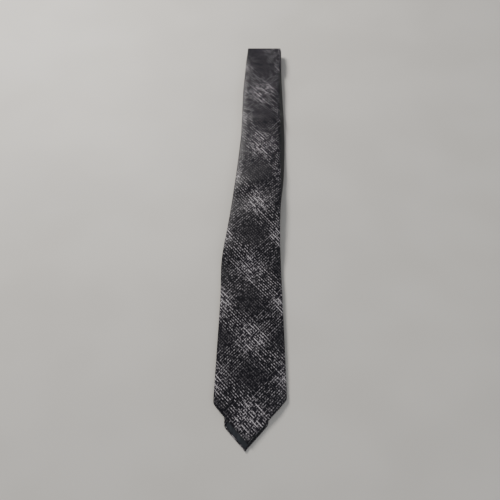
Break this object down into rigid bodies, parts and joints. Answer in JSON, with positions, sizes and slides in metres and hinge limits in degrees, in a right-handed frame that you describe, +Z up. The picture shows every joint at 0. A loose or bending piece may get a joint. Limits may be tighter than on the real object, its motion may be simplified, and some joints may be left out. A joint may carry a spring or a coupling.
{
  "type": "necktie",
  "caption": "Pointed necktie folded flat, with a patterned cloth shell over an interlining, satin-lined points, a keeper loop and folds that open out straight.",
  "frame": {"origin": "on the table under the middle of the folded tie", "axes": "+Y along the tie from the points to the top folds, +Z up out of the table, +X to the right of the blade seen from above with its tip towards the viewer"},
  "size_m": [0.0748, 0.475, 0.0117],
  "materials": {
    "tie_cloth": "charcoal microfibre twill with a silvery cross-hatched pattern",
    "satin_lining": "plain black satin",
    "interlining": "matt brushed wool blend",
    "sewing_thread": "polyester thread",
    "woven_label": "plain woven damask, blank",
    "care_label": "plain woven satin, blank"
  },
  "bodies": {
    "neck_lower": {"tail_shell_turned": "tie_cloth", "neck_shell_lower": "tie_cloth", "rear_cloth_seam": "sewing_thread", "neck_interlining_lower": "interlining", "neck_slip_stitch_lower": "sewing_thread"},
    "tail": {"tail_shell": "tie_cloth", "tail_interlining": "interlining", "tail_tipping": "satin_lining", "tail_slip_stitch": "sewing_thread", "tail_bar_tack": "sewing_thread", "tail_fold_shell": "tie_cloth", "tail_fold_interlining": "interlining"},
    "neck_upper": {"neck_fold_shell": "tie_cloth", "neck_fold_interlining": "interlining", "blade_shell_turned": "tie_cloth", "neck_shell_upper": "tie_cloth", "front_cloth_seam": "sewing_thread", "neck_interlining_upper": "interlining", "neck_slip_stitch_upper": "sewing_thread"},
    "blade": {"blade_fold_shell": "tie_cloth", "blade_fold_interlining": "interlining", "blade_shell": "tie_cloth", "blade_interlining": "interlining", "blade_tipping": "satin_lining", "blade_slip_stitch": "sewing_thread", "blade_bar_tack": "sewing_thread", "slack_thread_loop": "sewing_thread", "keeper_loop": "tie_cloth", "keeper_tack_left": "sewing_thread", "keeper_tack_right": "sewing_thread", "blank_label": "woven_label", "blank_label_stitch_left": "sewing_thread", "blank_label_stitch_right": "sewing_thread", "care_label": "care_label", "care_label_stitch_left": "sewing_thread", "care_label_stitch_right": "sewing_thread"}
  },
  "joints": [
    {"name": "tail_fold", "type": "hinge", "parent": "neck_lower", "child": "tail", "pos_m": [0.00013, 0.23758, 0.00285], "axis": [1, 0, 0], "range_deg": [0, 180], "deforming": ["tail_fold_shell", "tail_fold_interlining"]},
    {"name": "neck_fold", "type": "hinge", "parent": "neck_lower", "child": "neck_upper", "pos_m": [0.00013, -0.00792, 0.00585], "axis": [1, 0, 0], "range_deg": [0, 180], "deforming": ["neck_fold_shell", "neck_fold_interlining"]},
    {"name": "blade_fold", "type": "hinge", "parent": "neck_upper", "child": "blade", "pos_m": [0.00013, 0.23758, 0.00885], "axis": [-1, 0, 0], "range_deg": [0, 180], "deforming": ["blade_fold_shell", "blade_fold_interlining"]}
  ],
  "couplings": [
    {"joint": "neck_fold", "follows": "blade_fold", "ratio": 1}
  ]
}
